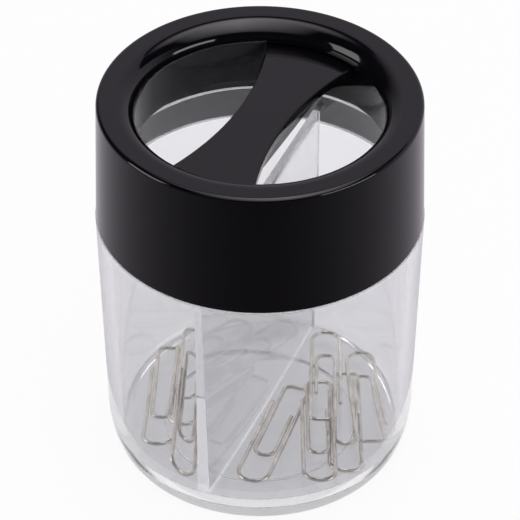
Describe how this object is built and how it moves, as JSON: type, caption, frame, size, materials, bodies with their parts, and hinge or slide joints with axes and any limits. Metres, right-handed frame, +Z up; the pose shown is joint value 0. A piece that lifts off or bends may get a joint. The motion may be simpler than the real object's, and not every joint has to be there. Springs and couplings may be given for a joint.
{
  "type": "magnetic paper clip holder",
  "caption": "Desktop paper clip holder: clear divided tumbler, black lift-off lid with an open throat crossed by an hourglass bridge, a ring magnet hidden in the lid, and wire clips inside.",
  "frame": {"origin": "centre of the base, on the surface the holder stands on", "axes": "+Z up, +Y along the divider away from the viewer, +X across the divider to the right compartment"},
  "size_m": [0.0598, 0.0598, 0.077],
  "materials": {
    "clear_plastic": "clear moulded polystyrene, polished",
    "black_plastic": "black moulded plastic, high gloss",
    "ferrite": "dark matte bonded ferrite",
    "clip_wire": "bright nickel-plated steel wire"
  },
  "bodies": {
    "tub": {"tumbler": "clear_plastic", "divider": "clear_plastic"},
    "lid": {"lid_shell": "black_plastic", "throat_insert": "black_plastic", "bridge": "black_plastic", "ring_magnet": "ferrite"},
    "left_clips": {"left_clip_1": "clip_wire", "left_clip_2": "clip_wire", "left_clip_3": "clip_wire"},
    "right_clips": {"right_clip_1": "clip_wire", "right_clip_2": "clip_wire", "right_clip_3": "clip_wire", "right_clip_4": "clip_wire", "right_clip_5": "clip_wire"}
  },
  "joints": [
    {"name": "lid_lift", "type": "slide", "parent": "tub", "child": "lid", "axis": [0, 0, 1], "range_m": [0, 0.03]},
    {"name": "left_clips_rise", "type": "slide", "parent": "tub", "child": "left_clips", "axis": [0, 0, 1], "range_m": [0, 0.052]},
    {"name": "right_clips_rise", "type": "slide", "parent": "tub", "child": "right_clips", "axis": [0, 0, 1], "range_m": [0, 0.053]}
  ]
}
